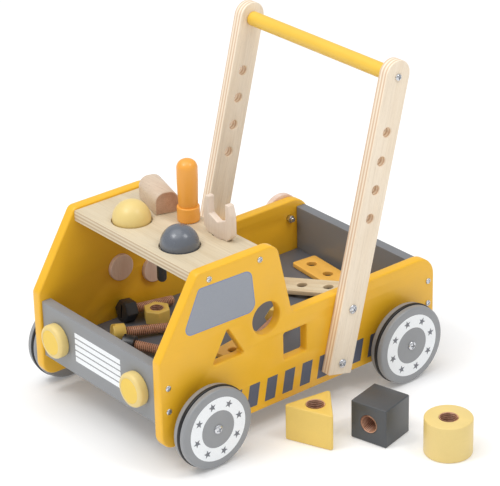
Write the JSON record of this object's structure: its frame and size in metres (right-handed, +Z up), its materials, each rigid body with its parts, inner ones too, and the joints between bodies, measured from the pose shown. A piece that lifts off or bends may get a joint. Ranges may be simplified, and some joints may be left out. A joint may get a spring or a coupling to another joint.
{
  "type": "baby walker",
  "caption": "Wooden push-along truck walker with a leaning push handle, open load bed, shape sorter side, tool rack roof and loose building pieces.",
  "frame": {"origin": "on the floor, in the middle of the footprint of the whole set, walker and loose blocks together", "axes": "+X is the walker's left side, where the loose blocks stand; -Y is its front, with the lamps; +Z is up"},
  "size_m": [0.4738, 0.4224, 0.4086],
  "materials": {
    "yellow_paint": "satin yellow paint on plywood",
    "grey_paint": "satin grey paint on plywood",
    "wheel_paint": "satin grey paint with a pale printed ring",
    "dark_paint": "satin dark slate paint",
    "black_paint": "satin black paint",
    "cream_paint": "satin pale yellow paint",
    "yellow_block": "satin warm yellow paint",
    "orange_paint": "satin orange paint",
    "birch": "clear matt lacquer, fine grain",
    "beech": "clear matt lacquer, pinkish, flecked",
    "rubber": "matt black",
    "grey_plastic": "moulded, matt",
    "zinc": "zinc plated"
  },
  "bodies": {
    "truck_box": {"side_panel_left": "yellow_paint", "side_panel_right": "yellow_paint", "front_bumper": "grey_paint", "tail_board": "grey_paint", "floor_board": "grey_paint", "roof_board": "birch", "headlight_left": "cream_paint", "headlight_right": "cream_paint", "upright_left": "birch", "upright_right": "birch", "handle_bar": "yellow_paint", "handle_screw_left": "zinc", "handle_screw_right": "zinc", "upright_bolt_left_lower": "zinc", "upright_bolt_left_upper": "zinc", "upright_bolt_right_lower": "zinc", "upright_bolt_right_upper": "zinc", "wheel_spacer_front_left": "grey_plastic", "wheel_spacer_front_right": "grey_plastic", "wheel_spacer_rear_left": "grey_plastic", "wheel_spacer_rear_right": "grey_plastic", "wheel_bolt_front_left": "zinc", "wheel_bolt_front_right": "zinc", "wheel_bolt_rear_left": "zinc", "wheel_bolt_rear_right": "zinc", "spinner_bolt": "zinc", "spinner_nut": "zinc"},
    "front_left_wheel": {"wheel_front_left": "wheel_paint", "tyre_front_left": "rubber"},
    "front_right_wheel": {"wheel_front_right": "wheel_paint", "tyre_front_right": "rubber"},
    "rear_left_wheel": {"wheel_rear_left": "wheel_paint", "tyre_rear_left": "rubber"},
    "rear_right_wheel": {"wheel_rear_right": "wheel_paint", "tyre_rear_right": "rubber"},
    "front_gear": {"gear_front": "yellow_paint", "gear_hub_front": "beech"},
    "middle_gear": {"gear_middle": "grey_paint", "gear_hub_middle": "beech"},
    "spinner": {"spinner_disc": "birch"},
    "yellow_ball": {"ball_yellow": "cream_paint"},
    "grey_ball": {"ball_grey": "dark_paint"},
    "mallet": {"mallet_head": "beech", "mallet_handle": "dark_paint"},
    "screwdriver": {"driver_handle": "orange_paint", "driver_shaft": "beech"},
    "spanner": {"wrench": "beech"},
    "cube_block": {"block_cube": "dark_paint"},
    "round_block": {"block_cylinder": "cream_paint"},
    "triangle_block": {"block_triangle": "yellow_block"},
    "black_bolt": {"hex_bolt_black": "black_paint"},
    "yellow_screw": {"slot_screw_yellow": "yellow_block"},
    "dark_screw": {"slot_screw_dark": "dark_paint"},
    "yellow_nut": {"hex_nut_yellow": "yellow_block"},
    "yellow_plank": {"plank_yellow": "yellow_block"},
    "natural_plank": {"plank_natural": "birch"},
    "short_plank": {"plank_short": "yellow_block"},
    "yellow_bolt": {"hex_bolt_yellow": "yellow_block"}
  },
  "joints": [
    {"name": "front_left_wheel_spin", "type": "hinge", "parent": "truck_box", "child": "front_left_wheel", "pos_m": [0.05674, -0.14525, 0.05], "axis": [1, 0, 0], "continuous": true},
    {"name": "front_right_wheel_spin", "type": "hinge", "parent": "truck_box", "child": "front_right_wheel", "pos_m": [-0.22446, -0.14525, 0.05], "axis": [1, 0, 0], "continuous": true},
    {"name": "rear_left_wheel_spin", "type": "hinge", "parent": "truck_box", "child": "rear_left_wheel", "pos_m": [0.05674, 0.14835, 0.05], "axis": [1, 0, 0], "continuous": true},
    {"name": "rear_right_wheel_spin", "type": "hinge", "parent": "truck_box", "child": "rear_right_wheel", "pos_m": [-0.22446, 0.14835, 0.05], "axis": [1, 0, 0], "continuous": true},
    {"name": "front_gear_spin", "type": "hinge", "parent": "truck_box", "child": "front_gear", "pos_m": [-0.20906, -0.08485, 0.1363], "axis": [1, 0, 0], "continuous": true},
    {"name": "middle_gear_spin", "type": "hinge", "parent": "truck_box", "child": "middle_gear", "pos_m": [-0.20906, -0.03635, 0.1185], "axis": [1, 0, 0], "continuous": true},
    {"name": "spinner_spin", "type": "hinge", "parent": "truck_box", "child": "spinner", "pos_m": [-0.20906, 0.17915, 0.116], "axis": [1, 0, 0], "continuous": true},
    {"name": "yellow_ball_lift", "type": "slide", "parent": "truck_box", "child": "yellow_ball", "axis": [0, 0, 1], "range_m": [0, 0.06]},
    {"name": "grey_ball_lift", "type": "slide", "parent": "truck_box", "child": "grey_ball", "axis": [0, 0, 1], "range_m": [0, 0.06]},
    {"name": "mallet_lift", "type": "slide", "parent": "truck_box", "child": "mallet", "axis": [0, 0, 1], "range_m": [0, 0.105]},
    {"name": "screwdriver_lift", "type": "slide", "parent": "truck_box", "child": "screwdriver", "axis": [0, 0, 1], "range_m": [0, 0.07]},
    {"name": "spanner_lift", "type": "slide", "parent": "truck_box", "child": "spanner", "axis": [0, 0, 1], "range_m": [0, 0.07]},
    {"name": "cube_block_lift", "type": "slide", "parent": "truck_box", "child": "cube_block", "axis": [0, 0, 1], "range_m": [0, 0.1]},
    {"name": "round_block_lift", "type": "slide", "parent": "truck_box", "child": "round_block", "axis": [0, 0, 1], "range_m": [0, 0.1]},
    {"name": "triangle_block_lift", "type": "slide", "parent": "truck_box", "child": "triangle_block", "axis": [0, 0, 1], "range_m": [0, 0.1]},
    {"name": "black_bolt_lift", "type": "slide", "parent": "truck_box", "child": "black_bolt", "axis": [0, 0, 1], "range_m": [0, 0.015]},
    {"name": "yellow_screw_lift", "type": "slide", "parent": "truck_box", "child": "yellow_screw", "axis": [0, 0, 1], "range_m": [0, 0.03]},
    {"name": "dark_screw_lift", "type": "slide", "parent": "truck_box", "child": "dark_screw", "axis": [0, 0, 1], "range_m": [0, 0.04]},
    {"name": "yellow_nut_lift", "type": "slide", "parent": "truck_box", "child": "yellow_nut", "axis": [0, 0, 1], "range_m": [0, 0.035]},
    {"name": "yellow_plank_lift", "type": "slide", "parent": "truck_box", "child": "yellow_plank", "axis": [0, 0, 1], "range_m": [0, 0.03]},
    {"name": "natural_plank_lift", "type": "slide", "parent": "yellow_plank", "child": "natural_plank", "axis": [0, 0, 1], "range_m": [0, 0.04]},
    {"name": "short_plank_lift", "type": "slide", "parent": "truck_box", "child": "short_plank", "axis": [0, 0, 1], "range_m": [0, 0.05]},
    {"name": "yellow_bolt_lift", "type": "slide", "parent": "short_plank", "child": "yellow_bolt", "axis": [0, 0, 1], "range_m": [0, 0.05]}
  ],
  "couplings": [
    {"joint": "middle_gear_spin", "follows": "front_gear_spin", "ratio": -1}
  ]
}
